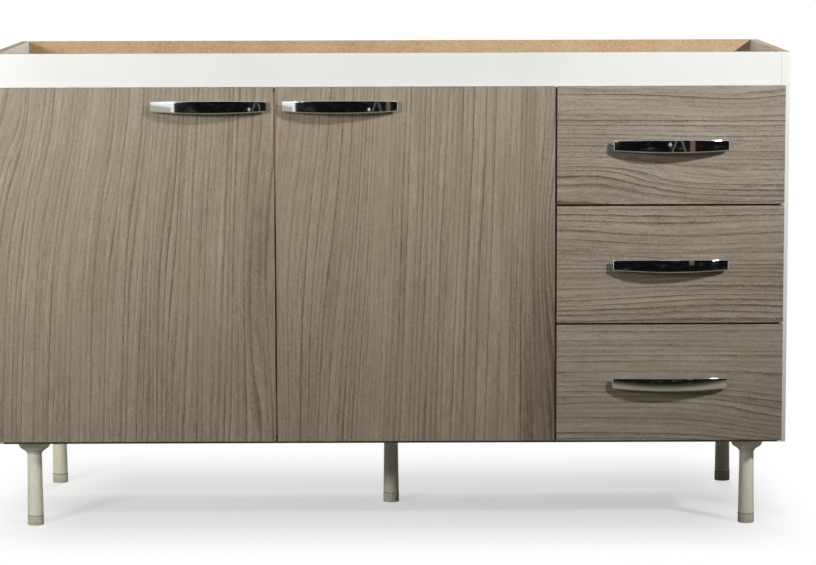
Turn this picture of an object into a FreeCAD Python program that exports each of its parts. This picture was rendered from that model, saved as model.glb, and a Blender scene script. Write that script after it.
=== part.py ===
import FreeCAD, Part
import math
import os

# A kitchen base cabinet for a sink: an open-topped board carcass on five plastic legs, with two hinged
# doors on the left and three drawers on the right. Every size is in millimetres. X runs to the right,
# Y to the back and Z up. The origin is on the floor, under the middle of the cabinet and its handles.

# Carcass of coated chipboard
cabinet_width = 1440.0
carcass_height = 710.0
leg_height = 160.0
panel_depth = 500.0
board_thickness = 15.0
rail_height = 70.0
back_thickness = 3.0
drawer_bay_width = 398.0

# Door and drawer fronts
front_thickness = 15.0
front_gap = 2.5
front_edge_radius = 1.0
side_reveal = 9.0
top_reveal = 60.0
bottom_reveal = 6.0
door_seam = 2.5
bay_seam = 3.0
drawer_seam = 3.0

# Bow handles
handle_length = 207.0
handle_hole_spacing = 160.0
handle_projection = 32.0
handle_end_projection = 12.0
handle_middle_height = 23.0
handle_end_height = 18.5
handle_thickness = 5.0
handle_bevel = 2.0
handle_foot_width = 11.0
handle_foot_height = 14.0
door_handle_drop = 34.0
door_handle_inset = 13.0

# Fasteners
machine_screw_radius = 2.0
machine_screw_head_radius = 3.5
machine_screw_head_height = 2.0
machine_screw_bite = 8.0
wood_screw_radius = 1.75
wood_screw_head_radius = 3.3
wood_screw_head_height = 1.6
wood_screw_length = 12.0
long_screw_length = 30.0
assembly_screw_radius = 3.5
assembly_screw_head_radius = 5.0
assembly_screw_head_height = 3.0
assembly_screw_length = 50.0
assembly_screw_inset = 90.0
dowel_radius = 4.0
dowel_length = 30.0
dowel_board_depth = 10.0
dowel_inset = 150.0
rail_dowel_height = 18.0
rail_screw_height = 50.0
nail_radius = 0.8
nail_head_radius = 1.8
nail_head_height = 0.8
nail_length = 18.0
nail_pitch = 170.0
nail_end_distance = 45.0
connector_radius = 3.0
connector_length = 34.0
connector_front_depth = 10.0
connector_inset = 25.0

# Concealed hinges
hinge_end_distance = 100.0
cup_radius = 17.5
cup_depth = 11.5
cup_wall = 0.8
cup_edge_distance = 3.0
pin_inset = 7.0
pin_depth = 8.2
pin_radius = 1.1
pin_clearance = 0.05
eye_radius = 2.0
arm_thickness = 1.5
arm_offset = 11.5
arm_strip_width = 10.0
ear_gap = 1.0
ear_thickness = 2.0
ear_width = 6.0
cup_flange_thickness = 1.0
cup_flange_height = 57.0
cup_screw_spacing = 45.0
cup_screw_inset = 30.0
cup_screw_length = 10.0
cup_screw_head_radius = 3.0
cup_screw_head_height = 1.0
plate_setback = 8.0
plate_length = 46.0
plate_width = 13.0
plate_wing_height = 48.0
plate_wing_length = 14.0
plate_wing_thickness = 2.0
plate_screw_spacing = 32.0
arm_body_height = 3.5
arm_screw_setback = 34.0
arm_screw_length = 7.0

# Drawer boxes
drawer_side_thickness = 12.0
drawer_side_height = 130.0
drawer_side_length = 420.0
drawer_box_rise = 25.0
drawer_bottom_thickness = 3.0
drawer_groove_rise = 10.0
drawer_groove_depth = 5.0

# Telescopic drawer runners
runner_width = 12.7
runner_height = 45.0
runner_length = 400.0
runner_setback = 6.0
runner_sheet = 1.2
runner_play = 0.3
runner_rise = 62.0
runner_flange_depth = 8.8
runner_web_gap = 2.0
runner_screw_inset = 37.0
runner_screw_count = 3
side_screw_length = 10.0

# Legs and their screwed feet
leg_side_inset = 64.0
leg_front_inset = 55.0
leg_back_inset = 34.0
leg_middle_setback = 262.0
leg_flange_radius = 30.0
leg_flange_thickness = 8.0
leg_shoulder_radius = 26.0
leg_shoulder_drop = 15.5
leg_flare_radius = 17.0
leg_flare_drop = 21.5
leg_neck_drop = 27.0
leg_top_radius = 13.2
leg_foot_radius = 14.7
leg_wall = 2.5
leg_bore_depth = 70.0
leg_screw_circle_radius = 22.0
leg_screw_count = 4
leg_screw_seat = 3.0
foot_height = 17.5
foot_radius = 15.0
foot_rib_count = 24
foot_rib_radius = 1.1
foot_rim_height = 2.0
foot_stem_length = 42.0
foot_stem_play = 0.3

# Tools that cut right through run this far past the piece
overrun = 5.0

# Planes that the pieces share, worked out from the sizes above
half_width = cabinet_width / 2
inner_x = half_width - board_thickness
top_z = leg_height + carcass_height
base_top_z = leg_height + board_thickness
rail_bottom_z = top_z - rail_height
overall_depth = handle_projection + front_thickness + front_gap + panel_depth + back_thickness
face_y = handle_projection - overall_depth / 2
front_back_y = face_y + front_thickness
carcass_front_y = front_back_y + front_gap
carcass_back_y = carcass_front_y + panel_depth
divider_right_x = inner_x - drawer_bay_width
divider_left_x = divider_right_x - board_thickness
divider_middle_x = (divider_left_x + divider_right_x) / 2
fronts_bottom_z = leg_height + bottom_reveal
fronts_top_z = top_z - top_reveal
doors_left_x = side_reveal - half_width
doors_right_x = divider_middle_x - bay_seam / 2
drawers_left_x = divider_middle_x + bay_seam / 2
drawers_right_x = half_width - side_reveal
door_width = (doors_right_x - doors_left_x - door_seam) / 2
drawer_names = ["bottom", "middle", "top"]
drawer_front_height = (fronts_top_z - fronts_bottom_z + drawer_seam) / len(drawer_names) - drawer_seam

X_AXIS = FreeCAD.Vector(1, 0, 0)
Y_AXIS = FreeCAD.Vector(0, 1, 0)
Z_AXIS = FreeCAD.Vector(0, 0, 1)


def block(x_span, y_span, z_span):
    """A box between two values on each axis, given in either order."""
    low = FreeCAD.Vector(min(x_span), min(y_span), min(z_span))
    high = FreeCAD.Vector(max(x_span), max(y_span), max(z_span))
    size = high - low
    return Part.makeBox(size.x, size.y, size.z, low)


def rod(radius, start, direction, length):
    """A round bar from a point, along a unit direction."""
    return Part.makeCylinder(radius, length, start, direction)


def headed_screw(seat, direction, radius, length, head_radius, head_height):
    """A screw whose head sits on the seat point and whose shank runs along the direction."""
    shank = rod(radius, seat, direction, length)
    head = rod(head_radius, seat - direction * head_height, direction, head_height)
    return head.fuse(shank).removeSplitter()


def wood_screw(seat, direction, length=wood_screw_length):
    """A small pan-headed chipboard screw."""
    return headed_screw(seat, direction, wood_screw_radius, length,
                        wood_screw_head_radius, wood_screw_head_height)


def assembly_screw(surface_point, direction):
    """A thick carcass screw with its flat head sunk flush in the surface."""
    seat = surface_point + direction * assembly_screw_head_height
    shank_length = assembly_screw_length - assembly_screw_head_height
    return headed_screw(seat, direction, assembly_screw_radius, shank_length,
                        assembly_screw_head_radius, assembly_screw_head_height)


def machine_screw(seat, direction, length):
    """A pan-headed machine screw, as used for handles and hinge arms."""
    return headed_screw(seat, direction, machine_screw_radius, length,
                        machine_screw_head_radius, machine_screw_head_height)


def save(name, solids):
    """Write one node, as one solid or as a group of separate solids."""
    shape = solids[0] if len(solids) == 1 else Part.makeCompound(solids)
    shape.exportStep("parts/" + name + ".step")


os.makedirs("parts", exist_ok=True)


# Screws and dowels that hold the carcass together: the sides on the ends of the base and the rails,
# and the divider between the base and the rails.
base_middle_z = leg_height + board_thickness / 2
screw_depths = [carcass_front_y + assembly_screw_inset, carcass_back_y - assembly_screw_inset]
dowel_depths = [carcass_front_y + dowel_inset, carcass_back_y - dowel_inset]
rail_middles_y = [carcass_front_y + board_thickness / 2, carcass_back_y - board_thickness / 2]
carcass_screws = []
carcass_dowels = []
for side in (-1, 1):
    inward = X_AXIS * -side
    outer_face_x = side * half_width
    dowel_start_x = side * (inner_x + dowel_board_depth)
    for y in screw_depths:
        carcass_screws.append(assembly_screw(FreeCAD.Vector(outer_face_x, y, base_middle_z), inward))
    for y in dowel_depths:
        start = FreeCAD.Vector(dowel_start_x, y, base_middle_z)
        carcass_dowels.append(rod(dowel_radius, start, inward, dowel_length))
    for y in rail_middles_y:
        screw_point = FreeCAD.Vector(outer_face_x, y, rail_bottom_z + rail_screw_height)
        carcass_screws.append(assembly_screw(screw_point, inward))
        start = FreeCAD.Vector(dowel_start_x, y, rail_bottom_z + rail_dowel_height)
        carcass_dowels.append(rod(dowel_radius, start, inward, dowel_length))
for y in screw_depths:
    carcass_screws.append(assembly_screw(FreeCAD.Vector(divider_middle_x, y, leg_height), Z_AXIS))
for y in dowel_depths:
    start = FreeCAD.Vector(divider_middle_x, y, base_top_z - dowel_board_depth)
    carcass_dowels.append(rod(dowel_radius, start, Z_AXIS, dowel_length))
for y in rail_middles_y:
    start = FreeCAD.Vector(divider_middle_x, y, rail_bottom_z - dowel_length / 2)
    carcass_dowels.append(rod(dowel_radius, start, Z_AXIS, dowel_length))
save("carcass_screws", carcass_screws)
save("carcass_dowels", carcass_dowels)


# Nails that hold the two hardboard sheets of the back on the rear edges of the boards, heads sunk flush.
def nail_places(start, end):
    """Evenly spaced places along an edge, no further apart than the nail pitch."""
    steps = max(1, math.ceil((end - start) / nail_pitch))
    return [start + (end - start) * step / steps for step in range(steps + 1)]


def back_nail(x, z):
    """A small flat-headed nail driven forwards through the hardboard."""
    seat = FreeCAD.Vector(x, carcass_back_y + back_thickness - nail_head_height, z)
    return headed_screw(seat, Y_AXIS * -1, nail_radius, nail_length, nail_head_radius, nail_head_height)


sheet_edges = {
    "left": (-half_width, divider_middle_x),
    "right": (divider_middle_x, half_width),
}
upright_nail_heights = nail_places(base_top_z + nail_end_distance, rail_bottom_z - nail_end_distance)
back_nails = []
for left_x, right_x in sheet_edges.values():
    for x in nail_places(left_x + nail_end_distance, right_x - nail_end_distance):
        back_nails.append(back_nail(x, base_middle_z))
        back_nails.append(back_nail(x, top_z - rail_height / 2))
for side in (-1, 1):
    for z in upright_nail_heights:
        back_nails.append(back_nail(side * (half_width - board_thickness / 2), z))
        back_nails.append(back_nail(divider_middle_x + side * board_thickness / 4, z))
save("back_nails", back_nails)
for name, x_span in sheet_edges.items():
    sheet = block(x_span, (carcass_back_y, carcass_back_y + back_thickness), (leg_height, top_z))
    save("back_panel_" + name, [sheet.cut(back_nails)])


# Concealed hinges, two to a door. The real hinge's links are stood in for by one pin inside the cup.
class Hinge:
    """Places of one hinge. u runs from the door's hinged edge towards its free edge, w from the door's
    back face towards its front face, and z is the height over the hinge's middle."""

    def __init__(self, edge_x, inward, middle_z):
        self.edge_x = edge_x
        self.inward = inward
        self.middle_z = middle_z

    def point(self, u, w, z):
        return FreeCAD.Vector(self.edge_x + self.inward * u, front_back_y - w, self.middle_z + z)

    def block(self, u_span, w_span, z_span):
        low = self.point(u_span[0], w_span[0], z_span[0])
        high = self.point(u_span[1], w_span[1], z_span[1])
        return block((low.x, high.x), (low.y, high.y), (low.z, high.z))

    def upright_rod(self, u, w, radius, half_length):
        return rod(radius, self.point(u, w, -half_length), Z_AXIS, half_length * 2)


cup_middle_u = cup_edge_distance + cup_radius
eye_half_width = arm_strip_width / 2
ear_start = eye_half_width + ear_gap
pin_half_length = ear_start + ear_thickness
carcass_u = board_thickness - side_reveal
arm_back_u = pin_inset + arm_offset - arm_thickness / 2
arm_front_u = arm_back_u + arm_thickness
plate_front_w = -(front_gap + plate_setback)
plate_middle_w = plate_front_w - plate_length / 2


def cup_bore(hinge):
    """The round hole in the door that a cup is pressed into."""
    return rod(cup_radius, hinge.point(cup_middle_u, cup_depth, 0), Y_AXIS, cup_depth)


def hinge_cup(hinge):
    """The pressed cup, with two ears that carry the pin and a flange that lies on the door's back."""
    hollow_floor = hinge.point(cup_middle_u, cup_depth - cup_wall, 0)
    hollow = rod(cup_radius - cup_wall, hollow_floor, Y_AXIS, cup_depth + overrun)
    flange = hinge.block((pin_inset + eye_radius, cup_middle_u + cup_radius),
                         (0, -cup_flange_thickness),
                         (-cup_flange_height / 2, cup_flange_height / 2))
    cup = cup_bore(hinge).fuse(flange).cut(hollow)
    for side in (-1, 1):
        ear = hinge.block((cup_edge_distance, pin_inset + ear_width / 2),
                          (pin_depth - ear_width / 2, cup_depth - cup_wall),
                          (side * ear_start, side * (ear_start + ear_thickness)))
        cup = cup.fuse(ear.common(cup_bore(hinge)))
    pin_hole = hinge.upright_rod(pin_inset, pin_depth, pin_radius + pin_clearance,
                                 pin_half_length + pin_clearance)
    return cup.cut([pin_hole] + cup_screws(hinge)).removeSplitter()


def cup_screws(hinge):
    """The two short screws that hold the cup's flange on the door."""
    seats = [hinge.point(cup_screw_inset, -cup_flange_thickness, side * cup_screw_spacing / 2)
             for side in (-1, 1)]
    return [headed_screw(seat, Y_AXIS * -1, wood_screw_radius, cup_screw_length,
                         cup_screw_head_radius, cup_screw_head_height) for seat in seats]


def hinge_pin(hinge):
    """The pin that the door turns on."""
    return hinge.upright_rod(pin_inset, pin_depth, pin_radius, pin_half_length)


def hinge_arm(hinge):
    """The cranked steel arm: from the eye on the pin, out of the cup and back along the plate."""
    strip_z = (-eye_half_width, eye_half_width)
    eye = hinge.upright_rod(pin_inset, pin_depth, eye_radius, eye_half_width)
    across = hinge.block((pin_inset, arm_front_u),
                         (pin_depth - arm_thickness / 2, pin_depth + arm_thickness / 2), strip_z)
    back = hinge.block((arm_back_u, arm_front_u), (pin_depth, plate_front_w), strip_z)
    body = hinge.block((arm_back_u, arm_back_u + arm_body_height),
                       (plate_front_w, plate_front_w - plate_length),
                       (-plate_width / 2, plate_width / 2))
    return eye.fuse([across, back, body]).cut([hinge_pin(hinge), arm_screw(hinge)]).removeSplitter()


def arm_screw(hinge):
    """The machine screw that clamps the arm on its plate."""
    seat = hinge.point(arm_back_u + arm_body_height, plate_front_w - arm_screw_setback, 0)
    return machine_screw(seat, X_AXIS * -hinge.inward, arm_screw_length)


def plate_screws(hinge):
    """The two screws that hold the mounting plate on the carcass."""
    seats = [hinge.point(carcass_u + plate_wing_thickness, plate_middle_w, side * plate_screw_spacing / 2)
             for side in (-1, 1)]
    return [wood_screw(seat, X_AXIS * -hinge.inward) for seat in seats]


def hinge_plate(hinge):
    """The cast mounting plate: a ridge under the arm, with a wing above and below for its screws."""
    ridge = hinge.block((carcass_u, arm_back_u), (plate_front_w, plate_front_w - plate_length),
                        (-plate_width / 2, plate_width / 2))
    wing = hinge.block((carcass_u, carcass_u + plate_wing_thickness),
                       (plate_middle_w - plate_wing_length / 2, plate_middle_w + plate_wing_length / 2),
                       (-plate_wing_height / 2, plate_wing_height / 2))
    return ridge.fuse(wing).cut([arm_screw(hinge)] + plate_screws(hinge)).removeSplitter()


hinge_heights = [fronts_bottom_z + hinge_end_distance, fronts_top_z - hinge_end_distance]
door_hinges = {
    "left": [Hinge(doors_left_x, 1, z) for z in hinge_heights],
    "right": [Hinge(doors_right_x, -1, z) for z in hinge_heights],
}
all_hinges = door_hinges["left"] + door_hinges["right"]
save("hinge_pins", [hinge_pin(hinge) for hinge in all_hinges])
save("hinge_arms", [hinge_arm(hinge) for hinge in all_hinges])
save("hinge_plates", [hinge_plate(hinge) for hinge in all_hinges])
save("hinge_arm_screws", [arm_screw(hinge) for hinge in all_hinges])


# Handles: a flat chromed bow that swells towards its middle, on two feet screwed on from behind.
def bow_outline_from_front():
    """The bow's outline seen from the front, drawn out over the bow's whole projection."""
    end_x = handle_length / 2
    end_z = handle_end_height / 2
    crown = FreeCAD.Vector(0, 0, handle_middle_height / 2)
    corners = [FreeCAD.Vector(x, 0, z) for x, z in
               [(-end_x, -end_z), (end_x, -end_z), (end_x, end_z), (-end_x, end_z)]]
    edges = [
        Part.Arc(corners[0], crown * -1, corners[1]).toShape(),
        Part.LineSegment(corners[1], corners[2]).toShape(),
        Part.Arc(corners[2], crown, corners[3]).toShape(),
        Part.LineSegment(corners[3], corners[0]).toShape(),
    ]
    return Part.Face(Part.Wire(edges)).extrude(Y_AXIS * -(handle_projection + overrun))


def bow_arc_points(thickness):
    """Ends and middle of the bow's front curve seen from above, moved back by a thickness."""
    low_z = -handle_middle_height
    return [FreeCAD.Vector(x, thickness - projection, low_z) for x, projection in
            [(-handle_length / 2, handle_end_projection), (0, handle_projection),
             (handle_length / 2, handle_end_projection)]]


def upright_slab(front, back):
    """A slab between two curves or lines seen from above, well over the bow's height."""
    edges = [curve.toShape() for curve in (
        front, Part.LineSegment(front.EndPoint, back.EndPoint),
        back, Part.LineSegment(back.StartPoint, front.StartPoint))]
    outline = Part.Wire(Part.__sortEdges__(edges))
    return Part.Face(outline).extrude(Z_AXIS * handle_middle_height * 2)


def build_handle():
    """One handle, with the middle of its back at the origin and its bow towards the front."""
    front_curve = Part.Arc(*bow_arc_points(0))
    back_points = bow_arc_points(handle_thickness)
    back_curve = Part.Arc(*back_points)
    seat_line = Part.LineSegment(FreeCAD.Vector(back_points[0].x, 0, back_points[0].z),
                                 FreeCAD.Vector(back_points[2].x, 0, back_points[2].z))
    bow = upright_slab(front_curve, back_curve).common(bow_outline_from_front())
    lower_front_edges = [edge for edge in bow.Edges
                         if edge.BoundBox.XLength > handle_hole_spacing and edge.BoundBox.ZMax < 0
                         and edge.BoundBox.YMin < handle_thickness / 2 - handle_projection]
    bow = bow.makeChamfer(handle_bevel, lower_front_edges)
    room_behind = upright_slab(back_curve, seat_line)
    feet = []
    for side in (-1, 1):
        foot_x = side * handle_hole_spacing / 2
        foot = block((foot_x - handle_foot_width / 2, foot_x + handle_foot_width / 2),
                     (-handle_projection, 0), (-handle_foot_height / 2, handle_foot_height / 2))
        feet.append(foot.common(room_behind))
    return bow.fuse(feet).removeSplitter()


def handle_screws(middle):
    """The two machine screws that hold a handle, driven from the front board's back face."""
    length = front_thickness + machine_screw_bite
    return [machine_screw(middle + FreeCAD.Vector(side * handle_hole_spacing / 2, front_thickness, 0),
                          Y_AXIS * -1, length) for side in (-1, 1)]


def placed_handle(middle):
    """A handle with its back's middle at a point of a front board's face."""
    handle = build_handle()
    handle.translate(middle)
    return handle.cut(handle_screws(middle)).removeSplitter()


def front_board(x_span, z_span):
    """A coated front with all its edges eased."""
    board = block(x_span, (face_y, front_back_y), z_span)
    return board.makeFillet(front_edge_radius, board.Edges)


# Doors: each hangs on two hinges and carries its handle near its free upper corner.
door_spans = {
    "left": (doors_left_x, doors_left_x + door_width),
    "right": (doors_right_x - door_width, doors_right_x),
}
for name, x_span in door_spans.items():
    hinges = door_hinges[name]
    free_edge_x = max(x_span) if hinges[0].inward > 0 else min(x_span)
    handle_x = free_edge_x - hinges[0].inward * (door_handle_inset + handle_length / 2)
    handle_middle = FreeCAD.Vector(handle_x, face_y, fronts_top_z - door_handle_drop)
    fasteners = handle_screws(handle_middle)
    for hinge in hinges:
        fasteners += cup_screws(hinge)
    board = front_board(x_span, (fronts_bottom_z, fronts_top_z))
    save("door_" + name + "_panel", [board.cut(fasteners + [cup_bore(hinge) for hinge in hinges])])
    save("door_" + name + "_handle", [placed_handle(handle_middle)])
    save("door_" + name + "_hinge_cups", [hinge_cup(hinge) for hinge in hinges])
    save("door_" + name + "_screws", fasteners)


# Telescopic runners: three nested steel channels on each side of a drawer. The balls between them are
# left out, and the channels run on each other with a small play.
def channel(web_x, tip_x, middle_z, height):
    """A steel channel along the runner, from its web's outer face to the tips of its flanges."""
    y_span = (runner_front_y, runner_front_y + runner_length)
    outward = 1 if tip_x > web_x else -1
    z_span = (middle_z - height / 2, middle_z + height / 2)
    outside = block((web_x, tip_x), y_span, z_span)
    inside = block((web_x + outward * runner_sheet, tip_x + outward * overrun),
                   (min(y_span) - overrun, max(y_span) + overrun),
                   (min(z_span) + runner_sheet, max(z_span) - runner_sheet))
    return outside.cut(inside)


runner_front_y = carcass_front_y + runner_setback
runner_nest = (runner_sheet + runner_play) * 2
runner_screw_depths = [runner_front_y + runner_screw_inset
                       + (runner_length - runner_screw_inset * 2) * step / (runner_screw_count - 1)
                       for step in range(runner_screw_count)]
runner_sides = [(divider_right_x, 1), (inner_x, -1)]
cabinet_members = []
carcass_wood_screws = []
for hinge in all_hinges:
    carcass_wood_screws += plate_screws(hinge)

# Drawers: a front, two sides, a back and a hardboard bottom, on a pair of runners.
for index, name in enumerate(drawer_names):
    front_bottom_z = fronts_bottom_z + index * (drawer_front_height + drawer_seam)
    front_top_z = front_bottom_z + drawer_front_height
    box_bottom_z = front_bottom_z + drawer_box_rise
    box_top_z = box_bottom_z + drawer_side_height
    runner_z = box_bottom_z + runner_rise
    sheet_bottom_z = box_bottom_z + drawer_groove_rise
    sheet_top_z = sheet_bottom_z + drawer_bottom_thickness
    box_back_y = front_back_y + drawer_side_length

    drawer_members = []
    middle_members = []
    drawer_sides = []
    side_inner_xs = []
    fasteners = []
    for panel_x, inward in runner_sides:
        side_x = panel_x + inward * runner_width
        side_inner_x = side_x + inward * drawer_side_thickness
        middle_web_x = panel_x + inward * (runner_sheet + runner_web_gap)
        member = channel(panel_x, panel_x + inward * runner_flange_depth, runner_z, runner_height)
        middle = channel(middle_web_x, middle_web_x + inward * runner_flange_depth,
                         runner_z, runner_height - runner_nest)
        inner = channel(side_x, middle_web_x + inward * (runner_sheet + runner_play),
                        runner_z, runner_height - runner_nest * 2)
        member_screws = []
        inner_screws = []
        for y in runner_screw_depths:
            member_seat = FreeCAD.Vector(panel_x + inward * runner_sheet, y, runner_z)
            inner_seat = FreeCAD.Vector(side_x - inward * runner_sheet, y, runner_z)
            member_screws.append(wood_screw(member_seat, X_AXIS * -inward))
            inner_screws.append(wood_screw(inner_seat, X_AXIS * inward, side_screw_length))
        cabinet_members.append(member.cut(member_screws))
        carcass_wood_screws += member_screws
        middle_members.append(middle)
        drawer_members.append(inner.cut(inner_screws))
        drawer_sides.append(block((side_x, side_inner_x), (front_back_y, box_back_y),
                                  (box_bottom_z, box_top_z)))
        side_inner_xs.append(side_inner_x)
        fasteners += inner_screws
        for z in (box_bottom_z + connector_inset, box_top_z - connector_inset):
            bolt_start = FreeCAD.Vector((side_x + side_inner_x) / 2, front_back_y - connector_front_depth, z)
            fasteners.append(rod(connector_radius, bolt_start, Y_AXIS, connector_length))
            back_seat = FreeCAD.Vector(side_x + inward * wood_screw_head_height,
                                       box_back_y - drawer_side_thickness / 2, z)
            fasteners.append(wood_screw(back_seat, X_AXIS * inward, long_screw_length))

    handle_middle = FreeCAD.Vector((drawers_left_x + drawers_right_x) / 2, face_y,
                                   (front_bottom_z + front_top_z) / 2)
    fasteners += handle_screws(handle_middle)
    low_x, high_x = side_inner_xs
    sheet = block((low_x - drawer_groove_depth, high_x + drawer_groove_depth),
                  (front_back_y - drawer_groove_depth, box_back_y), (sheet_bottom_z, sheet_top_z))
    back = block((low_x, high_x), (box_back_y - drawer_side_thickness, box_back_y),
                 (sheet_top_z, box_top_z))
    front = front_board((drawers_left_x, drawers_right_x), (front_bottom_z, front_top_z))
    node = "drawer_" + name
    save(node + "_front", [front.cut(fasteners + [sheet])])
    save(node + "_sides", [side.cut(fasteners + [sheet]) for side in drawer_sides])
    save(node + "_back", [back.cut(fasteners)])
    save(node + "_base", [sheet])
    save(node + "_handle", [placed_handle(handle_middle)])
    save(node + "_runner_members", drawer_members)
    save(node + "_fasteners", fasteners)
    save("runner_" + name + "_middle_members", middle_members)
save("runner_cabinet_members", cabinet_members)


# Legs: moulded plastic, a round flange flaring into a hollow tapered tube, with a ribbed foot that
# screws up into the tube's lower end.
leg_places = {
    "front_left": (leg_side_inset - half_width, carcass_front_y + leg_front_inset),
    "front_right": (half_width - leg_side_inset, carcass_front_y + leg_front_inset),
    "rear_left": (leg_side_inset - half_width, carcass_back_y - leg_back_inset),
    "rear_right": (half_width - leg_side_inset, carcass_back_y - leg_back_inset),
    "middle": (0, carcass_front_y + leg_middle_setback),
}


def turned(outline):
    """A turned solid from its outline, a list of radius and height pairs, closed along the axis."""
    points = [FreeCAD.Vector(radius, 0, z) for radius, z in outline]
    wire = Part.makePolygon(points + [points[0]])
    return Part.Face(wire).revolve(FreeCAD.Vector(), Z_AXIS, 360)


def leg_screw_seats():
    """Where the heads of the screws through a leg's flange sit, with the leg on the Z axis."""
    seats = []
    for step in range(leg_screw_count):
        angle = math.pi * (2 * step + 1) / leg_screw_count
        seats.append(FreeCAD.Vector(leg_screw_circle_radius * math.cos(angle),
                                    leg_screw_circle_radius * math.sin(angle), leg_height - leg_screw_seat))
    return seats


def build_leg():
    """One leg's tube and flange, on the Z axis, with screw holes sunk into the flange from below."""
    bore_radius = leg_top_radius - leg_wall
    outside = turned([
        (0, leg_height), (leg_flange_radius, leg_height),
        (leg_flange_radius, leg_height - leg_flange_thickness),
        (leg_shoulder_radius, leg_height - leg_shoulder_drop),
        (leg_flare_radius, leg_height - leg_flare_drop),
        (leg_top_radius, leg_height - leg_neck_drop),
        (leg_foot_radius, foot_height), (0, foot_height)])
    bore = rod(bore_radius, FreeCAD.Vector(0, 0, foot_height), Z_AXIS, leg_bore_depth)
    screw_holes = [wood_screw(seat, Z_AXIS) for seat in leg_screw_seats()]
    head_sinks = [rod(wood_screw_head_radius, seat, Z_AXIS * -1, leg_neck_drop) for seat in leg_screw_seats()]
    return outside.cut([bore] + screw_holes + head_sinks)


def build_foot():
    """One ribbed foot with its stem, on the Z axis."""
    stem_radius = leg_top_radius - leg_wall - foot_stem_play
    collar = rod(foot_radius, FreeCAD.Vector(), Z_AXIS, foot_height)
    grooves = []
    for step in range(foot_rib_count):
        angle = 2 * math.pi * step / foot_rib_count
        spot = FreeCAD.Vector(foot_radius * math.cos(angle), foot_radius * math.sin(angle), foot_rim_height)
        grooves.append(rod(foot_rib_radius, spot, Z_AXIS, foot_height))
    stem = rod(stem_radius, FreeCAD.Vector(0, 0, foot_height), Z_AXIS, foot_stem_length)
    return collar.cut(grooves).fuse(stem).removeSplitter()


leg = build_leg()
foot = build_foot()
for name, (x, y) in leg_places.items():
    place = FreeCAD.Vector(x, y, 0)
    carcass_wood_screws += [wood_screw(seat + place, Z_AXIS) for seat in leg_screw_seats()]
    save("leg_" + name, [leg.translated(place)])
    save("foot_" + name, [foot.translated(place)])
save("carcass_wood_screws", carcass_wood_screws)


# Boards of the carcass, drilled for everything that is driven into them.
carcass_fasteners = carcass_screws + carcass_dowels + carcass_wood_screws + back_nails
y_span = (carcass_front_y, carcass_back_y)
front_rail_y_span = (carcass_front_y, carcass_front_y + board_thickness)
rear_rail_y_span = (carcass_back_y - board_thickness, carcass_back_y)
inner_x_span = (-inner_x, inner_x)
carcass_boards = {
    "side_panel_left": block((-half_width, -inner_x), y_span, (leg_height, top_z)),
    "side_panel_right": block((inner_x, half_width), y_span, (leg_height, top_z)),
    "base_panel": block(inner_x_span, y_span, (leg_height, base_top_z)),
    "divider_panel": block((divider_left_x, divider_right_x), y_span, (base_top_z, rail_bottom_z)),
    "front_top_rail": block(inner_x_span, front_rail_y_span, (rail_bottom_z, top_z)),
    "rear_top_rail": block(inner_x_span, rear_rail_y_span, (rail_bottom_z, top_z)),
}
for name, board in carcass_boards.items():
    save(name, [board.cut(carcass_fasteners)])
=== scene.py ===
import math

import bmesh
import bpy
from mathutils import Matrix, Vector


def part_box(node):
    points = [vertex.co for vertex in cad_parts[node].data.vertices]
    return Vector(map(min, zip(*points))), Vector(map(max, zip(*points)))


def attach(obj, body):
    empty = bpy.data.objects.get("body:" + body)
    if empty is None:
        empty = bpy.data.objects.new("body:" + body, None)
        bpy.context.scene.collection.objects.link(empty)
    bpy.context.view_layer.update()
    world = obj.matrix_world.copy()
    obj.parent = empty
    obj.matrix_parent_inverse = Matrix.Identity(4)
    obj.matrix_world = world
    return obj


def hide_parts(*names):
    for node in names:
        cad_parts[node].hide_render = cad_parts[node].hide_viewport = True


# A kitchen base cabinet for a sink: coated boards on five plastic legs, two hinged doors, three drawers
# and chromed bow handles. Metres, in the frame of the CAD model: X to the right, Y to the back, Z up.
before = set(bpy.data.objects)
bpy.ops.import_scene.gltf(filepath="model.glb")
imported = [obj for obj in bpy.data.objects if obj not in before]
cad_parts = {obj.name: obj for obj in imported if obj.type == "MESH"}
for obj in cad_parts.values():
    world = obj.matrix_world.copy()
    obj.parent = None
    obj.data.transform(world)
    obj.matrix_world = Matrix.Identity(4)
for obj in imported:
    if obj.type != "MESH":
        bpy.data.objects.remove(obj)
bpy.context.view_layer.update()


# Carcass boards: chipboard with a white melamine skin, the front edges banded in the same white and
# the top and bottom edges left raw. The sides are screwed and dowelled on the ends of the base and rails.
class Socket:
    """One output of a shader node. Sums written with it add their Math nodes."""

    def __init__(self, finish, output):
        self.finish = finish
        self.output = output

    def math(self, operation, *terms):
        return self.finish.node("ShaderNodeMath", {"operation": operation}, dict(enumerate(terms)))

    def __add__(self, other):
        return self.math("ADD", self, other)

    def __radd__(self, other):
        return self.math("ADD", other, self)

    def __sub__(self, other):
        return self.math("SUBTRACT", self, other)

    def __rsub__(self, other):
        return self.math("SUBTRACT", other, self)

    def __mul__(self, other):
        return self.math("MULTIPLY", self, other)

    def __rmul__(self, other):
        return self.math("MULTIPLY", other, self)

    def __gt__(self, other):
        return self.math("GREATER_THAN", self, other)

    def __lt__(self, other):
        return self.math("LESS_THAN", self, other)

    def __abs__(self):
        return self.math("ABSOLUTE", self)


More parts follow.
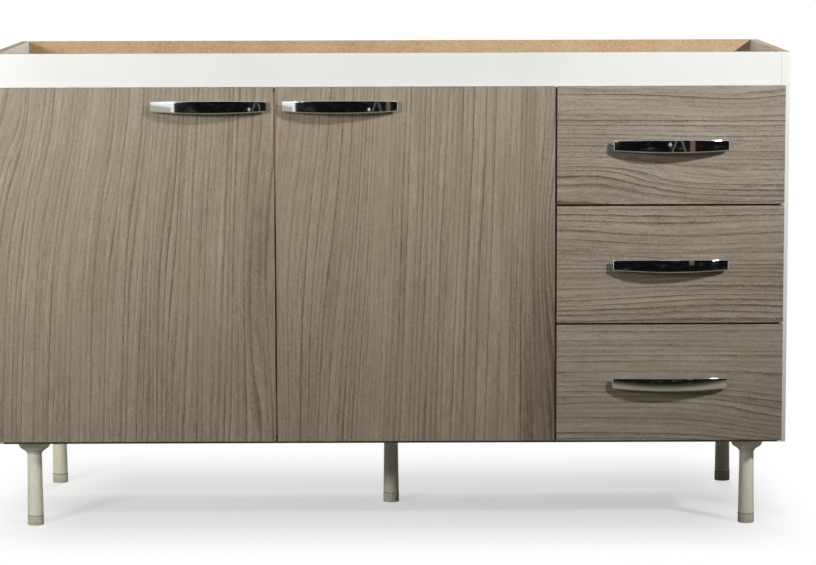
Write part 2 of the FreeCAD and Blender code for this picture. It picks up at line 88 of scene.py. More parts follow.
class Finish:
    """A procedural material, worked out from the point on the surface in metres."""

    def __init__(self, name):
        self.material = bpy.data.materials.new(name)
        self.material.use_nodes = True
        self.tree = self.material.node_tree
        self.shader = self.tree.nodes["Principled BSDF"]
        self.point = self.node("ShaderNodeTexCoord", output="Object")
        self.x, self.y, self.z = self.parts(self.point)

    def node(self, kind, settings=None, sockets=None, output=0):
        node = self.tree.nodes.new(kind)
        for name, value in (settings or {}).items():
            setattr(node, name, value)
        for name, value in (sockets or {}).items():
            self.plug(node.inputs[name], value)
        return Socket(self, node.outputs[output])

    def plug(self, socket, value):
        if isinstance(value, Socket):
            self.tree.links.new(value.output, socket)
        else:
            socket.default_value = value

    def parts(self, vector):
        separate = self.node("ShaderNodeSeparateXYZ", sockets={0: vector})
        return [Socket(self, output) for output in separate.output.node.outputs]

    def place(self, x, y, z):
        return self.node("ShaderNodeCombineXYZ", sockets={0: x, 1: y, 2: z})

    def noise(self, place, scale=1.0, detail=2.0, roughness=0.5):
        return self.node("ShaderNodeTexNoise",
                         sockets={"Vector": place, "Scale": scale, "Detail": detail, "Roughness": roughness})

    def step(self, value, low, high):
        """0 below the low value and 1 above the high one, with a soft rise between."""
        return self.node("ShaderNodeMapRange", {"interpolation_type": "SMOOTHSTEP"},
                         {"Value": value, "From Min": low, "From Max": high})

    def mix(self, factor, first, second, blend="MIX"):
        """Two colours mixed, each an RGB triple or a link."""
        first, second = [c if isinstance(c, Socket) else (*c, 1.0) for c in (first, second)]
        return self.node("ShaderNodeMix", {"data_type": "RGBA", "blend_type": blend},
                         {0: factor, 6: first, 7: second}, 2)

    def bump(self, height, distance, strength=1.0):
        """A normal for a height from 0 to 1 that stands for a distance in metres."""
        return self.node("ShaderNodeBump",
                         sockets={"Height": height, "Distance": distance, "Strength": strength})

    def facing(self, axis):
        """How far the surface faces along an axis, from -1 to 1."""
        return self.parts(self.node("ShaderNodeNewGeometry", output="True Normal"))["XYZ".index(axis)]

    def show(self, surface):
        """Put another shader than the first one on the surface."""
        self.tree.links.new(surface.output, self.tree.nodes["Material Output"].inputs["Surface"])

    def set(self, **values):
        for name, value in values.items():
            if isinstance(value, tuple) and len(value) == 3:
                value = (*value, 1.0)
            self.plug(self.shader.inputs[name.replace("_", " ")], value)
        return self


def dress(finish, *nodes):
    """Give CAD nodes a finish."""
    for name in nodes:
        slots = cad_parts[name].data.materials
        if not slots:
            slots.append(None)
        for index in range(len(slots)):
            slots[index] = finish.material


flakes_per_metre = 420.0
dust_per_metre = 900.0
clouds_per_metre = 14.0
flake_brown, flake_pale = (0.285, 0.189, 0.104), (0.475, 0.34, 0.205)
flake_orange, speck_dark, cloud_pale = (0.4, 0.24, 0.11), (0.16, 0.1, 0.055), (0.495, 0.378, 0.248)


def chipboard_colour(finish):
    """Pressed wood chips: pale and brown flakes of a few millimetres, with dark specks between them."""
    flakes = finish.node("ShaderNodeTexVoronoi", {"feature": "F1"},
                         {"Vector": finish.point, "Scale": flakes_per_metre, "Randomness": 1.0}, "Color")
    tone, warmth, depth = finish.parts(flakes)
    clouds = finish.noise(finish.point, clouds_per_metre, 3.0)
    dust = finish.noise(finish.point, dust_per_metre, 2.0, 0.7)
    colour = finish.mix(tone * 0.65 + dust * 0.35, flake_brown, flake_pale)
    colour = finish.mix(finish.step(warmth, 0.7, 0.95) * 0.5, colour, flake_orange)
    colour = finish.mix(finish.step(depth, 0.88, 0.98) * 0.55, colour, speck_dark)
    colour = finish.mix(finish.step(clouds, 0.35, 0.7) * 0.3, colour, cloud_pale)
    return colour, tone * 0.6 + dust * 0.4


white_clean, white_handled = (0.86, 0.865, 0.845), (0.81, 0.81, 0.785)
joint_grey, chip_brown = (0.25, 0.26, 0.24), (0.42, 0.3, 0.18)
pebbles_per_metre = 900.0
pebble_depth = 0.00006


def white_board(name, raw_where=None, grey_joint=None, chipped_edge=None):
    """White melamine. raw_where tells where the bare chipboard shows, as a 0 to 1 mask."""
    finish = Finish(name)
    pebble = finish.noise(finish.point, pebbles_per_metre, 1.0)
    handling = finish.noise(finish.point, 3.5, 4.0, 0.6)
    colour = finish.mix(finish.step(handling, 0.35, 0.75), white_clean, white_handled)
    rough = 0.3 + handling * 0.12
    height = pebble * 0.5
    if grey_joint:
        colour = finish.mix(grey_joint(finish) * 0.55, colour, joint_grey)
    if chipped_edge:
        colour = finish.mix(chipped_edge(finish), colour, chip_brown)
    if raw_where:
        mask = raw_where(finish)
        chips, grain = chipboard_colour(finish)
        colour = finish.mix(mask, colour, chips)
        rough = rough * (1 - mask) + mask * 0.9
        height = height * (1 - mask) + grain * mask * 3
    return finish.set(Base_Color=colour, Roughness=rough, Specular_IOR_Level=0.5,
                      Normal=finish.bump(height, pebble_depth))


facing_soft_edge = (0.6, 0.8)


def horizontal_edges(finish):
    return finish.step(abs(finish.facing("Z")), *facing_soft_edge)


rail_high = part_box("front_top_rail")[1]
joint_shadow_width, joint_shadow_fade = 0.0012, 0.0004
chip_spots_per_metre = 150
chip_steepness = 140


def rail_ends(finish):
    """The fine shadow where the rail's ends meet the front edges of the sides."""
    return finish.step(abs(finish.x), rail_high.x - joint_shadow_width, rail_high.x - joint_shadow_fade)


def rail_chips(finish):
    """Small breaks in the melamine along the rail's sawn upper edge."""
    across, up = finish.x * chip_spots_per_metre, finish.z * chip_spots_per_metre
    spots = finish.noise(finish.place(across, 0, up), 1.0, 3.0, 0.6)
    return finish.step(spots + (finish.z - rail_high.z) * chip_steepness, 0.6, 0.66)


def front_edge(finish):
    return finish.step(0 - finish.facing("Y"), *facing_soft_edge)


dress(white_board("white_side_board", horizontal_edges), "side_panel_left", "side_panel_right")
dress(white_board("white_rail", horizontal_edges, rail_ends, rail_chips), "front_top_rail")
dress(white_board("white_divider", horizontal_edges), "divider_panel")
dress(white_board("white_base", front_edge), "base_panel")


# Rear top rail: the same chipboard left bare on its faces, sawn from a wider board.
sawn_depth = 0.0003
bare_rail = Finish("bare_chipboard")
bare_colour, bare_grain = chipboard_colour(bare_rail)
bare_rail.set(Base_Color=bare_colour, Roughness=0.85, Specular_IOR_Level=0.25,
              Normal=bare_rail.bump(bare_grain, sawn_depth))
dress(bare_rail, "rear_top_rail")


# Back: two sheets of thin brown hardboard, smooth and shiny inside, fuzzy outside, nailed on the rear edges.
smooth_tones = ((0.3, 0.195, 0.11), (0.235, 0.145, 0.078))
fuzzy_tones = ((0.19, 0.11, 0.055), (0.36, 0.225, 0.125))
felt_per_metre = 420.0
felt_depth = 0.00012


def hardboard(name, fuzzy_side):
    finish = Finish(name)
    felt = finish.noise(finish.point, felt_per_metre, 4.0, 0.65)
    cloud = finish.noise(finish.point, 6.0, 3.0)
    fuzzy = fuzzy_side(finish)
    smooth_brown = finish.mix(cloud, *smooth_tones)
    fuzzy_brown = finish.mix(felt * 0.6 + cloud * 0.4, *fuzzy_tones)
    return finish.set(Base_Color=finish.mix(fuzzy, smooth_brown, fuzzy_brown), Roughness=0.38 + fuzzy * 0.3,
                      Normal=finish.bump(felt * (0.15 + fuzzy), felt_depth))


dress(hardboard("hardboard_back", lambda finish: finish.step(finish.facing("Y"), -0.8, -0.6)),
      "back_panel_left", "back_panel_right")


# Fasteners of the carcass: beech dowels, zinc-plated assembly screws, wood screws and nails.
beech_dark, beech_pale = (0.55, 0.39, 0.22), (0.68, 0.5, 0.31)
rings_across, rings_along = 700, 40
ring_depth = 0.0001
beech = Finish("beech_dowel")
beech_rings = beech.noise(beech.place(beech.x * rings_along, beech.y * rings_across, beech.z * rings_across),
                          1.0, 2.0)
beech.set(Base_Color=beech.mix(beech_rings, beech_dark, beech_pale), Roughness=0.6,
          Normal=beech.bump(beech_rings, ring_depth))
dress(beech, "carcass_dowels")


zinc_tint, zinc_roughness = (0.62, 0.63, 0.64), 0.28
dulled_share = 0.8
smear_depth = 0.00003


def plated_steel(name, tint, roughness):
    finish = Finish(name)
    smear = finish.noise(finish.place(finish.x * 90, finish.y * 14, finish.z * 90), 1.0, 3.0)
    dull = finish.noise(finish.point, 60.0, 3.0, 0.6)
    darker = tuple(part * dulled_share for part in tint)
    return finish.set(Base_Color=finish.mix(dull, tint, darker), Metallic=1.0,
                      Roughness=roughness + smear * 0.16, Normal=finish.bump(smear, smear_depth))


zinc = plated_steel("zinc_plate", zinc_tint, zinc_roughness)
dress(zinc, "carcass_screws", "back_nails", "carcass_wood_screws", "hinge_arm_screws",
      "door_left_screws", "door_right_screws",
      *["drawer_" + level + "_fasteners" for level in ("bottom", "middle", "top")])


# Legs: injection-moulded cream plastic, screwed under the base, with ribbed feet that turn in and out.
# Painted shade darkens the grooves between the ribs, the lowest 12 mm of each foot turn browner towards the
# floor, and a fine dark joint shows where each foot enters its leg.
cream_clean, cream_warm = (0.9, 0.89, 0.745), (0.84, 0.83, 0.685)
scuff_brown, groove_painted_shade, joint_dark = (0.42, 0.38, 0.28), (0.2, 0.18, 0.12), (0.12, 0.105, 0.075)
darker_near_floor_height = 0.012
groove_floor_radius, groove_mouth_radius, groove_top = 0.0149, 0.0157, 0.0172
foot_joint_height, foot_joint_half_width = 0.0178, 0.0007
scuff_depth = 0.00005


def cream_plastic(name, axis):
    """The plastic of one leg and its foot, which stand round an upright axis."""
    finish = Finish(name)
    flow = finish.noise(finish.place(finish.x * 18, finish.y * 18, finish.z * 6), 1.0, 3.0)
    fine = finish.noise(finish.point, 1100.0, 1.0)
    rubbed = finish.noise(finish.place(finish.x * 60, finish.y * 60, finish.z * 240), 1.0, 3.0)
    scuff = finish.step(rubbed, 0.62, 0.75)
    # The lowest 12 mm of each foot turn browner towards the floor.
    darker_near_floor = finish.step(finish.z, darker_near_floor_height, 0.0)
    reach = finish.node("ShaderNodeVectorMath", {"operation": "LENGTH"},
                        {0: finish.place(finish.x - axis.x, finish.y - axis.y, 0)}, "Value")
    # Painted shade: the grooves between the foot's ribs are marked for darkening.
    groove = (1 - finish.step(reach, groove_floor_radius, groove_mouth_radius)) * (finish.z < groove_top)
    joint = abs(finish.z - foot_joint_height) < foot_joint_half_width
    colour = finish.mix(flow, cream_clean, cream_warm)
    colour = finish.mix(scuff * 0.25 + darker_near_floor * 0.3, colour, scuff_brown)
    # Painted shade in the grooves between the ribs.
    colour = finish.mix(groove * 0.22, colour, groove_painted_shade)
    colour = finish.mix(joint * 0.8, colour, joint_dark)
    return finish.set(Base_Color=colour, Roughness=0.38 + scuff * 0.2 + flow * 0.08,
                      Normal=finish.bump(fine * 0.4 + scuff * 0.6, scuff_depth))


for place in ("front_left", "front_right", "rear_left", "rear_right", "middle"):
    low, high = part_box("foot_" + place)
    dress(cream_plastic("cream_plastic_" + place, (low + high) / 2), "leg_" + place, "foot_" + place)


# Concealed hinges: pressed and nickel-plated steel, the plates die-cast.
nickel_tint, nickel_roughness = (0.7, 0.69, 0.66), 0.2
nickel = plated_steel("nickel_plate", nickel_tint, nickel_roughness)
dress(nickel, "hinge_plates", "hinge_arms", "hinge_pins", "door_left_hinge_cups", "door_right_hinge_cups")


# Door and drawer fronts: chipboard with a grey-brown wood-print melamine, edges banded in the same
# print. The grain stands upright on the doors and lies across on the drawers.
def mound(across, along, mid_across, mid_along, half_width, before, after):
    """1 at a place on a board and falling off round it, with its own reach each way along the grain."""
    u = (across - mid_across) * (1 / half_width)
    past = along - mid_along
    v = past.math("MAXIMUM", past, 0.0) * (1 / after) + past.math("MINIMUM", past, 0.0) * (1 / before)
    falling = 0 - u * u - v * v
    return falling.math("EXPONENT", falling)


end_grain_slope = 0.6
line_place = 0.78
line_width, line_width_spread = 0.1, 0.1
fine_lines_per_line = 1.83
print_deep, print_brown, band_brown = (0.1, 0.071, 0.045), (0.27, 0.217, 0.158), (0.045, 0.038, 0.03)
ground_darkness = 0.12
pore_depth = 0.0001


def wood_print(name, front, upright, line_spacing, slant, waviness, contrast, pale, hills, clouds, seed):
    """Grain lines are the level lines of a field. A hill in it pushes them aside by some lines, and a
    cloud darkens or pales them. Each is (across, along, half width, reach before, reach after, how much)."""
    finish = Finish(name)
    across, along = (finish.x, finish.z) if upright else (finish.z, finish.x)
    across = across + (finish.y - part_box(front)[0].y) * end_grain_slope

    def spots(over, along_scale, seed_step, detail=1.0, roughness=0.5):
        """Noise drawn out along the grain."""
        return finish.noise(finish.place(over, along * along_scale, seed + seed_step), 1.0, detail, roughness)

    field = (across - along * slant) * (1 / line_spacing)
    for *where, lines in hills:
        field = field + mound(across, along, *where) * lines
    sway = spots(across * 6.5, 0.8, 0, 2.0, 0.45)
    crowd = spots(across * 24, 1.1, 3)
    waver = spots(across * 80, 24, 7, 2.0)
    field = field + sway * 1.9 + crowd * 1.7 + waver * waviness
    ring = field.math("FLOOR", field)
    within = field - ring
    luck = finish.node("ShaderNodeTexWhiteNoise", {"noise_dimensions": "1D"}, {"W": ring + seed})
    fade = spots(ring * 3.7, 5.5, 0, 2.0, 0.6)
    dashes = spots(field * 3.0, 110, 4)
    width = line_width + luck * line_width_spread
    line = 1 - finish.step(abs(within - line_place), width * 0.2, width)
    line = line * finish.step(luck * 0.5 + fade, 0.4, 0.85)
    line = line * (0.3 + dashes * 1.3) * (1 + finish.step(luck, 0.9, 0.96) * 0.4)
    late_wood = finish.step(within, 0.1, 0.76) * (1 - finish.step(within, 0.8, 0.9)) * (0.3 + luck)
    fine_field = field * fine_lines_per_line
    fine_ring = fine_field.math("FLOOR", fine_field)
    fine_fade = spots(fine_ring * 5.3, 9, 2)
    fine_line = 1 - finish.step(abs(fine_field - fine_ring - 0.5), 0.04, 0.2)
    fine_line = fine_line * finish.step(fine_fade, 0.35, 0.65)
    fibre = spots(field * 2.8, 30, 0, 3.0, 0.7)
    streak = spots(field * 0.8, 3.0, 13, 4.0, 0.65)
    grit = spots(across * 360, 170, 5, 2.0, 0.6)
    band = spots(field * 0.14, 1.2, 9, 2.0, 0.55)
    marks = line * 0.28 + late_wood * 0.26 + fine_line * 0.2
    for spread, strength in ((fibre, 1.0), (streak, 1.1), (grit, 0.75), (band, 0.45)):
        marks = marks + (spread - 0.5) * strength
    dark = marks * contrast
    for *where, depth in clouds:
        dark = dark + mound(across, along, *where) * depth
    dark = finish.node("ShaderNodeClamp", sockets={0: dark + ground_darkness})
    tint = spots(field * 0.3, 4, 11, 2.0)
    colour = finish.mix(dark, pale, print_deep)
    colour = finish.mix(finish.step(tint, 0.42, 0.62) * 0.3, colour, print_brown)
    banding = 1 - finish.step(abs(finish.facing("Y")), *facing_soft_edge)
    colour = finish.mix(banding * 0.75, colour, band_brown)
    return finish.set(Base_Color=colour, Roughness=0.42 + dark * 0.15, Specular_IOR_Level=0.4,
                      Normal=finish.bump(1 - dark, pore_depth))


door_hills = [
    (-0.66, 0.84, 0.26, 0.24, 1.0, -5.6), (-0.662, 0.78, 0.024, 0.1, 1.0, -1.6),
    (-0.13, 0.86, 0.11, 0.4, 1.0, -4.1), (-0.215, 0.12, 0.055, 1.0, 0.26, -3.9),
    (0.3, 0.54, 0.03, 0.14, 0.12, 1.7), (0.3, 0.1, 0.08, 1.0, 0.25, -2.5),
]
door_clouds_and_painted_shade = [
    # The second cloud in the next line is painted shade: it darkens the lower part of both doors across their
    # width.
    (-0.235, 0.52, 0.035, 0.3, 0.14, 0.2), (-0.3, 0.2, 0.6, 0.4, 0.42, 0.2),
    (0.29, 0.28, 0.06, 0.3, 0.3, 0.55),
]
door_print = wood_print("wood_print_doors", "door_left_panel", upright=True, line_spacing=0.0095, slant=0.035,
                        waviness=0.14, contrast=0.9, pale=(0.4, 0.337, 0.256),
                        hills=door_hills, clouds=door_clouds_and_painted_shade, seed=1.0)
dress(door_print, "door_left_panel", "door_right_panel")
drawer_prints = {
    "top": (1.35, [(0.65, 0.36, 0.05, 1.0, 0.14, -4.0), (0.79, 0.62, 0.03, 0.1, 0.1, 1.0)],
            [(0.61, 0.34, 0.03, 0.1, 0.14, 0.12)]),
    "middle": (1.35, [(0.54, 0.5, 0.04, 0.16, 0.2, 1.2), (0.43, 0.62, 0.04, 0.2, 0.2, -1.2)],
               [(0.42, 0.66, 0.09, 0.2, 0.2, 0.16)]),
    "bottom": (1.0, [(0.2, 0.76, 0.075, 0.16, 1.0, 3.4)], [(0.18, 0.7, 0.09, 0.14, 0.2, 0.14)]),
}
first_drawer_seed, drawer_seed_step = 25.0, 16
for index, (level, (contrast, hills, clouds)) in enumerate(drawer_prints.items()):
    node = "drawer_" + level + "_front"
    drawer_print = wood_print("wood_print_drawer_" + level, node, upright=False, line_spacing=0.0092,
                              slant=0.0, waviness=0.3, contrast=contrast, pale=(0.388, 0.34, 0.28),
                              hills=hills, clouds=clouds, seed=first_drawer_seed + drawer_seed_step * index)
    dress(drawer_print, node)


# Bow handles: zinc castings with a polished chrome plate, a flat bow with a bevel along its lower edge,
# on two feet screwed on through the front.
chrome_bright, chrome_wiped = (0.86, 0.87, 0.88), (0.8, 0.8, 0.8)
wipe_depth = 0.00002
chrome = Finish("polished_chrome")
wipe = chrome.noise(chrome.place(chrome.x * 30, chrome.y * 30, chrome.z * 160), 1.0, 3.0)
chrome.set(Base_Color=chrome.mix(wipe, chrome_bright, chrome_wiped), Metallic=1.0,
           Roughness=0.04 + wipe * 0.05, Normal=chrome.bump(wipe, wipe_depth))
handle_fronts = {"door_left": "door_left_panel", "door_right": "door_right_panel"}
for level in ("bottom", "middle", "top"):
    handle_fronts["drawer_" + level] = "drawer_" + level + "_front"
bow_half_height = 0.0115
end_half_height = 0.00925
bow_reach = 0.032
end_reach = 0.012
bow_depth = 0.005
bow_bevel = 0.0019
bow_round = 0.0005
bow_lean = 0.026
bow_crown = 1.5
foot_spacing = 0.16
foot_width, foot_height, foot_round = 0.011, 0.014, 0.0008
foot_bury = 0.6
bow_stations = 49
face_rows = 9
sharp_edge_degrees = 20


def arc_share(share):
    """The share of its crown that a shallow arc has at a place from -1 to 1."""
    return 1 - share * share


def bow_outline(front, half, inset):
    """The bow's section as depth and height pairs: a face that is slightly crowned and leans back, a
    bevel below it and a flat back, all drawn in by the inset."""
    back = front + bow_depth - inset
    front += inset
    half -= inset
    face_top = half - bow_round
    face_low = bow_bevel - half
    heights = [face_top + (face_low - face_top) * row / (face_rows - 1) for row in range(face_rows)]
    face = [(front + bow_lean * height + bow_crown * height * height, height) for height in heights]
    upper, lower = face[0][0], face[-1][0]
    near, far = bow_round * 0.3, bow_round * 0.4
    return [(upper + near, half - near), *face, (lower + near, face_low - far),
            (front + bow_bevel - far, -half + near), (front + bow_bevel, -half),
            (back - bow_round, -half), (back, bow_round - half), (back, half - bow_round),
            (back - bow_round, half), (upper + bow_round, half)]


def bow_mesh(shape, middle, half_length, face_y):
    """The bow: one section carried along a shallow arc, with small chamfers at its capped ends."""
    shares = [2 * index / (bow_stations - 1) - 1 for index in range(bow_stations)]
    stations = [(share * (1 - bow_round / half_length), share, 0.0) for share in shares]
    stations = [(-1.0, -1.0, bow_round)] + stations + [(1.0, 1.0, bow_round)]
    sections = []
    for place, share, inset in stations:
        half = end_half_height + (bow_half_height - end_half_height) * arc_share(share)
        front = face_y - end_reach - (bow_reach - end_reach) * arc_share(share)
        x = middle.x + place * half_length
        sections.append([shape.verts.new((x, y, middle.z + z)) for y, z in bow_outline(front, half, inset)])
    for before, after in zip(sections, sections[1:]):
        count = len(before)
        for index in range(count):
            following = (index + 1) % count
            shape.faces.new((before[index], before[following], after[following], after[index]))
    shape.faces.new(sections[0][::-1])
    shape.faces.new(sections[-1])


def new_object(name, shape, finish):
    """A shape that is worked out, put into the scene under a name."""
    mesh = bpy.data.meshes.new(name)
    shape.to_mesh(mesh)
    shape.free()
    mesh.materials.append(finish.material)
    thing = bpy.data.objects.new(name, mesh)
    bpy.context.scene.collection.objects.link(thing)
    return thing


def finished(name, shape, finish, body):
    """A mesh made into a piece that rides on a body."""
    bmesh.ops.recalc_face_normals(shape, faces=shape.faces[:])
    piece = new_object(name, shape, finish)
    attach(piece, body)
    return piece


def smooth_by_angle(piece, degrees):
    """Shade a mesh smooth, with its edges over an angle kept sharp."""
    mesh = piece.data
    mesh.polygons.foreach_set("use_smooth", [True] * len(mesh.polygons))
    mesh.set_sharp_from_angle(angle=math.radians(degrees))


def soft_block(shape, low, high, radius):
    """A block with its edges rounded."""
    corners = bmesh.ops.create_cube(shape, size=1.0)["verts"]
    for corner in corners:
        corner.co = Vector([low[i] if corner.co[i] < 0 else high[i] for i in range(3)])
    edges = list({edge for corner in corners for edge in corner.link_edges})
    bmesh.ops.bevel(shape, geom=edges, offset=radius, segments=2, affect="EDGES", profile=0.5)


for body, front in handle_fronts.items():
    low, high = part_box(body + "_handle")
    face_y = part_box(front)[0].y
    middle = (low + high) / 2
    half_length = (high.x - low.x) / 2
    shape = bmesh.new()
    bow_mesh(shape, middle, half_length, face_y)
    for side in (-1, 1):
        foot_x = middle.x + side * foot_spacing / 2
        reach = end_reach + (bow_reach - end_reach) * arc_share(foot_spacing / 2 / half_length)
        soft_block(shape, (foot_x - foot_width / 2, face_y - reach + bow_depth * foot_bury,
                           middle.z - foot_height / 2),
                   (foot_x + foot_width / 2, face_y, middle.z + foot_height / 2), foot_round)
    handle = finished(body + "_bow", shape, chrome, body)
    smooth_by_angle(handle, sharp_edge_degrees)
    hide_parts(body + "_handle")


# Drawer boxes: white melamine sides and back, cut edges banded on top, with a hardboard bottom in grooves.
drawer_white = white_board("white_drawer_board")
drawer_base = hardboard("hardboard_drawer_base",
                        lambda finish: finish.step(0 - finish.facing("Z"), *facing_soft_edge))
for level in ("bottom", "middle", "top"):
    dress(drawer_white, "drawer_" + level + "_sides", "drawer_" + level + "_back")
    dress(drawer_base, "drawer_" + level + "_base")


# Telescopic runners: rolled and zinc-plated steel channels.
runner_tint, runner_roughness = (0.56, 0.57, 0.58), 0.3
runner_steel = plated_steel("runner_steel", runner_tint, runner_roughness)
dress(runner_steel, "runner_cabinet_members",
      *["drawer_" + level + "_runner_members" for level in ("bottom", "middle", "top")],
      *["runner_" + level + "_middle_members" for level in ("bottom", "middle", "top")])


# The view: a long lens far in front of the cabinet, a little over its top.
focal_pixels = 3014.9
frame_width_pixels = 816
sensor_width = 36.0
farthest_seen = 60.0
camera_place = (0.0149, -5.6459, 1.1388)
turn_degrees, look_down_degrees, roll_degrees = -0.187, 7.195, -0.166
camera_data = bpy.data.cameras.new("camera")
camera_data.sensor_width = sensor_width
camera_data.lens = focal_pixels * sensor_width / frame_width_pixels
camera_data.clip_end = farthest_seen
camera = bpy.data.objects.new("camera", camera_data)
camera.matrix_world = (Matrix.Translation(camera_place)
                       @ Matrix.Rotation(math.radians(turn_degrees), 4, "Z")
                       @ Matrix.Rotation(math.radians(90 - look_down_degrees), 4, "X")
                       @ Matrix.Rotation(math.radians(roll_degrees), 4, "Z"))
bpy.context.scene.collection.objects.link(camera)
bpy.context.scene.camera = camera
bpy.context.scene.view_settings.view_transform = "Standard"


# The floor: pale and plain. It is white to the camera and to mirrors away from the cabinet, and near it
# it keeps the cabinet's soft shadow.
def seen_directly(tree):
    """1 for rays from the camera, from mirrors and through glass."""
    paths = tree.nodes.new("ShaderNodeLightPath").outputs
    total = None
    for name in ("Is Camera Ray", "Is Glossy Ray", "Is Transmission Ray"):
        if total is None:
            total = paths[name]
            continue
        sum_node = tree.nodes.new("ShaderNodeMath")
        sum_node.operation = "MAXIMUM"
        tree.links.new(total, sum_node.inputs[0])
        tree.links.new(paths[name], sum_node.inputs[1])
        total = sum_node.outputs[0]
    return total


shadow_side_start, shadow_side_end = 0.55, 0.82
shadow_middle_y, shadow_depth_start, shadow_depth_end = 0.06, 0.1, 0.55
shadow_share = 0.5
# Painted shade: from the cabinet's middle rightwards and from just behind its front backwards, the floor is
# dark brown for the light it bounces, so the legs there stay dark. Camera and mirrors see the white floor
# instead.
covered_front, covered_middle = -0.28, -0.1
covered_left, covered_right = -0.5, 0.1
floor_open, floor_painted_shade = (0.5, 0.48, 0.44), (0.06, 0.047, 0.03)
shown_white, floor_half_size = (0.95, 0.95, 0.95, 1.0), 9.0
floor_finish = Finish("pale_floor")
beside = floor_finish.step(abs(floor_finish.x), shadow_side_start, shadow_side_end)
before = floor_finish.step(abs(floor_finish.y - shadow_middle_y), shadow_depth_start, shadow_depth_end)
own_light = 1 - (1 - beside) * (1 - before) * shadow_share
# Mask of the painted shade on the floor under the cabinet.
behind_front = floor_finish.step(floor_finish.y, covered_front, covered_middle)
right_of_middle = floor_finish.step(floor_finish.x, covered_left, covered_right)
painted_shade_underneath = behind_front * right_of_middle
floor_finish.set(Base_Color=floor_finish.mix(painted_shade_underneath, floor_open, floor_painted_shade),
                 Roughness=0.9, Specular_IOR_Level=0.0)
shown_shade = floor_finish.node("ShaderNodeBsdfDiffuse", sockets={"Color": shown_white})
shown_glow = floor_finish.node("ShaderNodeEmission", sockets={"Color": (1.0, 1.0, 1.0, 1.0), "Strength": 1.0})
shown_floor = floor_finish.node("ShaderNodeMixShader", sockets={0: own_light, 1: shown_shade, 2: shown_glow})
direct = Socket(floor_finish, seen_directly(floor_finish.tree))
floor_surface = floor_finish.node("ShaderNodeMixShader", sockets={
    0: direct, 1: Socket(floor_finish, floor_finish.shader.outputs[0]), 2: shown_floor})
floor_finish.show(floor_surface)
floor_shape = bmesh.new()
bmesh.ops.create_grid(floor_shape, x_segments=1, y_segments=1, size=floor_half_size)
floor = new_object("floor", floor_shape, floor_finish)


# Around it: a white world, dim for the light that it sheds.
world_warm_white, world_strength = (1.0, 0.985, 0.96, 1.0), 0.1
world = bpy.data.worlds.new("studio")
world.use_nodes = True
bpy.context.scene.world = world
world_light = world.node_tree.nodes["Background"]
world_shown = world.node_tree.nodes.new("ShaderNodeBackground")
world_mix = world.node_tree.nodes.new("ShaderNodeMixShader")
world_light.inputs["Color"].default_value = world_warm_white
world_light.inputs["Strength"].default_value = world_strength
world_shown.inputs["Color"].default_value = (1.0, 1.0, 1.0, 1.0)
world_shown.inputs["Strength"].default_value = 1.0
world.node_tree.links.new(seen_directly(world.node_tree), world_mix.inputs[0])
world.node_tree.links.new(world_light.outputs[0], world_mix.inputs[1])
world.node_tree.links.new(world_shown.outputs[0], world_mix.inputs[2])
world.node_tree.links.new(world_mix.outputs[0], world.node_tree.nodes["World Output"].inputs["Surface"])


# Three soft boxes: a wide one at the left, a small one high on the right, and a weak one high behind.
lamp_white = (1.0, 0.993, 0.98)


def soft_box(name, place, target, size, spread, watts):
    lamp = bpy.data.lights.new(name, "AREA")
    lamp.shape = "RECTANGLE"
    lamp.size, lamp.size_y = size
    lamp.spread = math.radians(spread)
    lamp.energy = watts
    lamp.color = lamp_white
    holder = bpy.data.objects.new(name, lamp)
    holder.location = place
    holder.rotation_euler = (Vector(target) - Vector(place)).to_track_quat("-Z", "Y").to_euler()
    bpy.context.scene.collection.objects.link(holder)


soft_box("soft_box_left", place=(-2.2, -2.95, 1.5), target=(-1.0, -0.24, 0.88), size=(0.7, 0.5),
         spread=53, watts=9.0)
soft_box("soft_box_right", place=(3.9, -3.6, 3.2), target=(1.2, -0.24, 1.6), size=(0.4, 0.4),
         spread=35, watts=21.5)
soft_box("soft_box_back", place=(0.5, 3.0, 2.5), target=(0.0, 0.28, 0.35), size=(1.2, 0.8),
         spread=60, watts=9.0)


# A small flag that keeps the right box's light off the floor under the cabinet. Only shadows show it.
flag_x, flag_front, flag_back, flag_low, flag_top = 1.0, -0.42, 0.0, 0.25, 0.44
flag_dark, flag_worn = (0.01, 0.01, 0.01), (0.03, 0.03, 0.03)
threads_per_metre = 300.0
flag_finish = Finish("flag_black")
flag_cloth = flag_finish.noise(flag_finish.point, threads_per_metre, 2.0)
flag_finish.set(Base_Color=flag_finish.mix(flag_cloth, flag_dark, flag_worn), Roughness=0.95)
flag_shape = bmesh.new()
flag_corners = ((flag_front, flag_low), (flag_back, flag_low), (flag_back, flag_top), (flag_front, flag_top))
flag_shape.faces.new([flag_shape.verts.new((flag_x, y, z)) for y, z in flag_corners])
flag = new_object("flag", flag_shape, flag_finish)
flag.visible_camera = False
flag.visible_diffuse = False
flag.visible_glossy = False
flag.visible_transmission = False


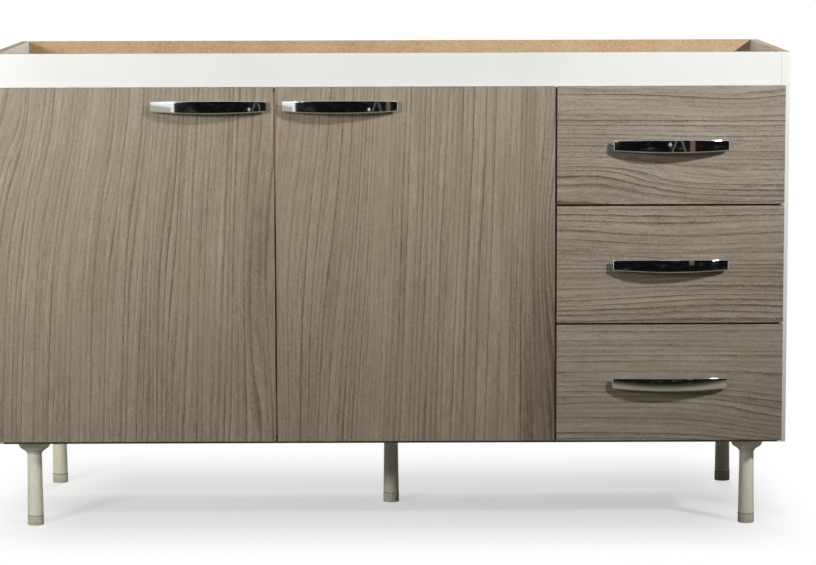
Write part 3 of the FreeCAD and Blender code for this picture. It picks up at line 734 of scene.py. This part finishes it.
# A studio that only mirrors see, as the handles show it: bright on the left, dark across and olive at
# the floor.
room_dark, room_grey = (0.004, 0.0045, 0.004), (0.1, 0.105, 0.1)
stand_grey, plank_brown, lamp_glint = (0.3, 0.3, 0.25), (0.16, 0.11, 0.075), (0.9, 0.9, 0.88)
floor_olive, near_olive = (0.3, 0.28, 0.2), (0.17, 0.16, 0.115)
wall_white, wall_low = (1.0, 1.0, 1.0), (0.47, 0.44, 0.36)
wall_right, wall_bend = -1.275, -1.36
stand_middle, stand_top, stand_slope, stand_half_width, stand_foot = 0.8, 0.93, 0.42, 0.009, 0.5
plank_middle, plank_half_width, plank_foot = 1.14, 0.065, 0.4
glint_x, glint_z, glint_radius = 0.59, 0.7, 0.028
card_left, card_right, card_low, card_top = -3.2, 4.5, 0.001, 1.5
card_back, card_front, card_near = -1.83, 0.3, -0.6
smoke_across, smoke_up, smoke_start, smoke_full = 3, 14, 0.54, 0.76
olive_start, olive_full = 0.17, -0.01
white_middle_x, white_slope, white_start, white_full = -1.5, 0.05, 0.73, 0.77
card_finish = Finish("studio_cards")
card_x, card_y, card_z = card_finish.x, card_finish.y, card_finish.z
smoke = card_finish.noise(card_finish.place(card_x * smoke_across, 0, card_z * smoke_up), 1.0, 4.0, 0.65)
dark_side = card_finish.mix(card_finish.step(smoke, smoke_start, smoke_full), room_dark, room_grey)
from_legs = abs(abs(card_x - stand_middle) - (stand_top - card_z) * stand_slope)
stand = (from_legs < stand_half_width) * (card_z > stand_foot)
dark_side = card_finish.mix(stand, dark_side, stand_grey)
plank = (abs(card_x - plank_middle) < plank_half_width) * (card_z > plank_foot)
dark_side = card_finish.mix(plank, dark_side, plank_brown)
from_glint = card_finish.node("ShaderNodeVectorMath", {"operation": "LENGTH"},
                              {0: card_finish.place(card_x - glint_x, 0, card_z - glint_z)}, "Value")
dark_side = card_finish.mix(from_glint < glint_radius, dark_side, lamp_glint)
near_floor = card_finish.step(card_z, olive_start, olive_full)
dark_side = card_finish.mix(near_floor * near_floor, dark_side, floor_olive)
dark_side = card_finish.mix(card_y > card_near, dark_side, near_olive)
white_edge = card_z + (card_x - white_middle_x) * white_slope
white_side = card_finish.step(white_edge, white_start, white_full)
bright_side = card_finish.mix(white_side, wall_low, wall_white)
bright_side = card_finish.mix(card_x > wall_bend, bright_side, wall_white)
card_colour = card_finish.mix(card_x < wall_right, dark_side, bright_side)
card_finish.show(card_finish.node("ShaderNodeEmission", sockets={"Color": card_colour, "Strength": 1.0}))
card_shape = bmesh.new()
card_rows = [[card_shape.verts.new((x, y, z)) for x in (card_left, card_right)]
             for y, z in ((card_back, card_top), (card_back, card_low), (card_front, card_low))]
for upper, lower in zip(card_rows, card_rows[1:]):
    card_shape.faces.new((*upper, *lower[::-1]))
card = new_object("mirror_card", card_shape, card_finish)
card.visible_camera = False
card.visible_diffuse = False
card.visible_transmission = False
card.visible_shadow = False
